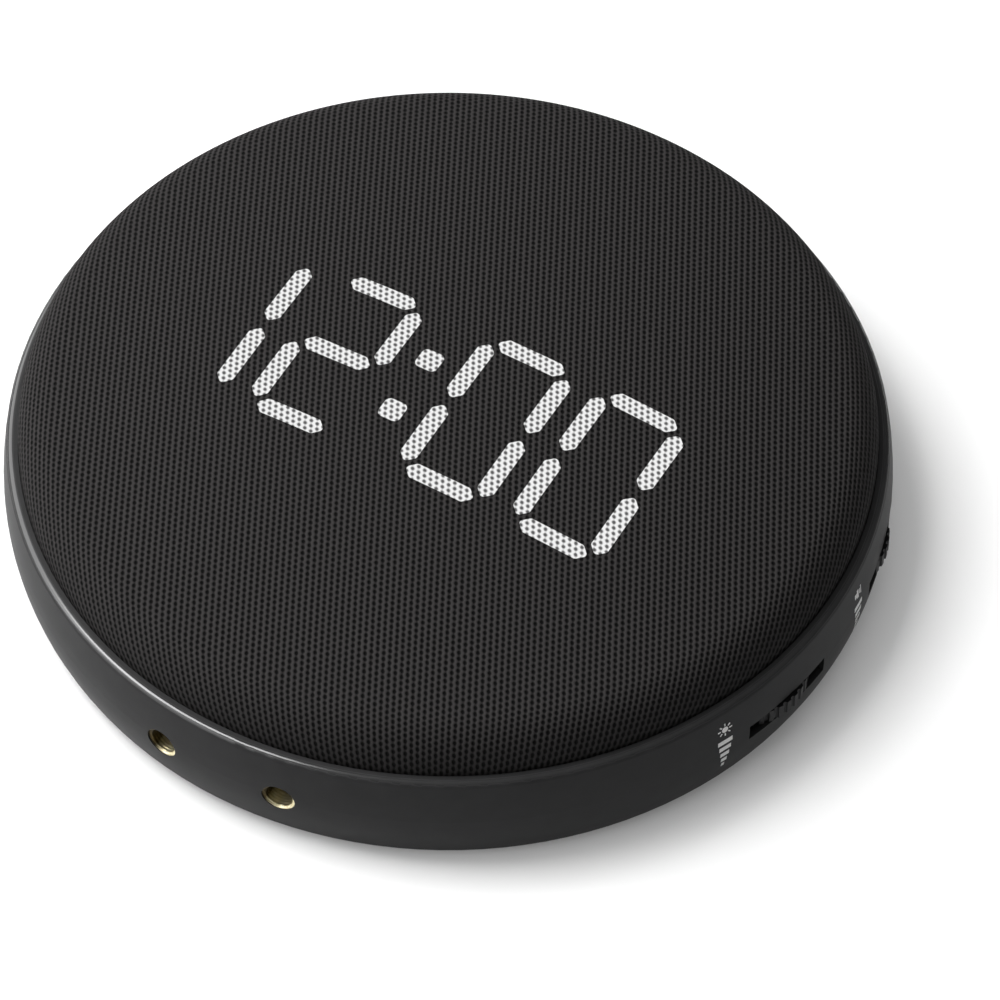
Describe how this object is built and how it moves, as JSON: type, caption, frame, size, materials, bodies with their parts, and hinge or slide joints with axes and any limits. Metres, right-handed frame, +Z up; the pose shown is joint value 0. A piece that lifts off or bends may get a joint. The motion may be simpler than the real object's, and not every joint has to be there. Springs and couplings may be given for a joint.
{
  "type": "vibrating alarm clock",
  "caption": "Round low alarm clock with a cloth-covered dome, a digit display that shines through it, rim thumbwheels and an inner vibration motor.",
  "frame": {"origin": "on the table under the centre of the round body", "axes": "+Z up from the table to the cloth, -Y towards the display's six o'clock and the stand inserts, +X towards the thumbwheels"},
  "size_m": [0.1307, 0.1308, 0.0303],
  "materials": {
    "rim_plastic": "fine satin moulding in charcoal",
    "cover_plastic": "fine textured black moulding",
    "wheel_plastic": "black moulding with a notched grip",
    "cloth": "black speaker knit, stretched",
    "inner_plastic": "plain black moulding",
    "light_guide": "milky diffuser",
    "led": "surface-mount chip",
    "circuit_board": "green solder mask",
    "chip": "moulded component body",
    "steel": "plated steel",
    "dark_steel": "blackened steel",
    "weight_metal": "sintered heavy metal",
    "brass": "turned brass",
    "paper": "pressed paper cone",
    "pale_plastic": "pale moulding",
    "wire": "insulated wire",
    "foot_rubber": "soft black rubber"
  },
  "bodies": {
    "clock": {"rim_shell": "rim_plastic", "rear_cover": "cover_plastic", "fabric_cover": "cloth", "dome_panel": "inner_plastic", "display_housing": "inner_plastic", "board_header": "inner_plastic", "power_inlet": "inner_plastic", "dimmer_pot": "inner_plastic", "volume_pot": "inner_plastic", "lit_guides": "light_guide", "dark_guides": "light_guide", "segment_leds": "led", "display_board": "circuit_board", "main_board": "circuit_board", "board_chips": "chip", "tact_switches": "chip", "mode_switch": "chip", "display_screws": "steel", "board_screws": "steel", "inlet_pin": "steel", "motor_can": "steel", "motor_strap": "steel", "strap_screws": "steel", "coin_cell": "steel", "speaker_basket": "steel", "cover_screws": "dark_steel", "speaker_magnet": "dark_steel", "left_insert": "brass", "right_insert": "brass", "cell_spring": "brass", "cell_clip": "brass", "speaker_cone": "paper", "motor_end_cap": "pale_plastic", "motor_leads": "wire", "speaker_leads": "wire", "rear_feet": "foot_rubber"},
    "dimmer": {"dimmer_wheel": "wheel_plastic", "dimmer_shaft": "steel", "dimmer_screw": "steel"},
    "volume": {"volume_wheel": "wheel_plastic", "volume_shaft": "steel", "volume_screw": "steel"},
    "rotor": {"motor_shaft": "steel", "eccentric_weight": "weight_metal"},
    "hour": {"hour_button": "cover_plastic"},
    "minute": {"minute_button": "cover_plastic"},
    "time": {"time_button": "cover_plastic"},
    "alarm": {"alarm_button": "cover_plastic"},
    "mode": {"mode_knob": "pale_plastic"},
    "cell_door": {"battery_door": "cover_plastic"}
  },
  "joints": [
    {"name": "dimmer_turn", "type": "hinge", "parent": "clock", "child": "dimmer", "pos_m": [0.05491, -0.01097, 0.0095], "axis": [0, 0, 1], "range_deg": [-140, 140]},
    {"name": "volume_turn", "type": "hinge", "parent": "clock", "child": "volume", "pos_m": [0.05364, 0.01609, 0.0095], "axis": [0, 0, 1], "range_deg": [-140, 140]},
    {"name": "motor_spin", "type": "hinge", "parent": "clock", "child": "rotor", "pos_m": [-0.01199, -0.038, 0.0096], "axis": [1, 0, 0], "continuous": true},
    {"name": "hour_press", "type": "slide", "parent": "clock", "child": "hour", "axis": [0, 0, 1], "range_m": [0, 0.0003], "stiffness_N_per_m": 800},
    {"name": "minute_press", "type": "slide", "parent": "clock", "child": "minute", "axis": [0, 0, 1], "range_m": [0, 0.0003], "stiffness_N_per_m": 800},
    {"name": "time_press", "type": "slide", "parent": "clock", "child": "time", "axis": [0, 0, 1], "range_m": [0, 0.0003], "stiffness_N_per_m": 800},
    {"name": "alarm_press", "type": "slide", "parent": "clock", "child": "alarm", "axis": [0, 0, 1], "range_m": [0, 0.0003], "stiffness_N_per_m": 800},
    {"name": "mode_slide", "type": "slide", "parent": "clock", "child": "mode", "axis": [1, 0, 0], "range_m": [-0.002, 0.002]},
    {"name": "cell_door_turn", "type": "hinge", "parent": "clock", "child": "cell_door", "pos_m": [-0.02999, -0.03402, 0.0012], "axis": [0, 0, 1], "range_deg": [0, 75]}
  ]
}
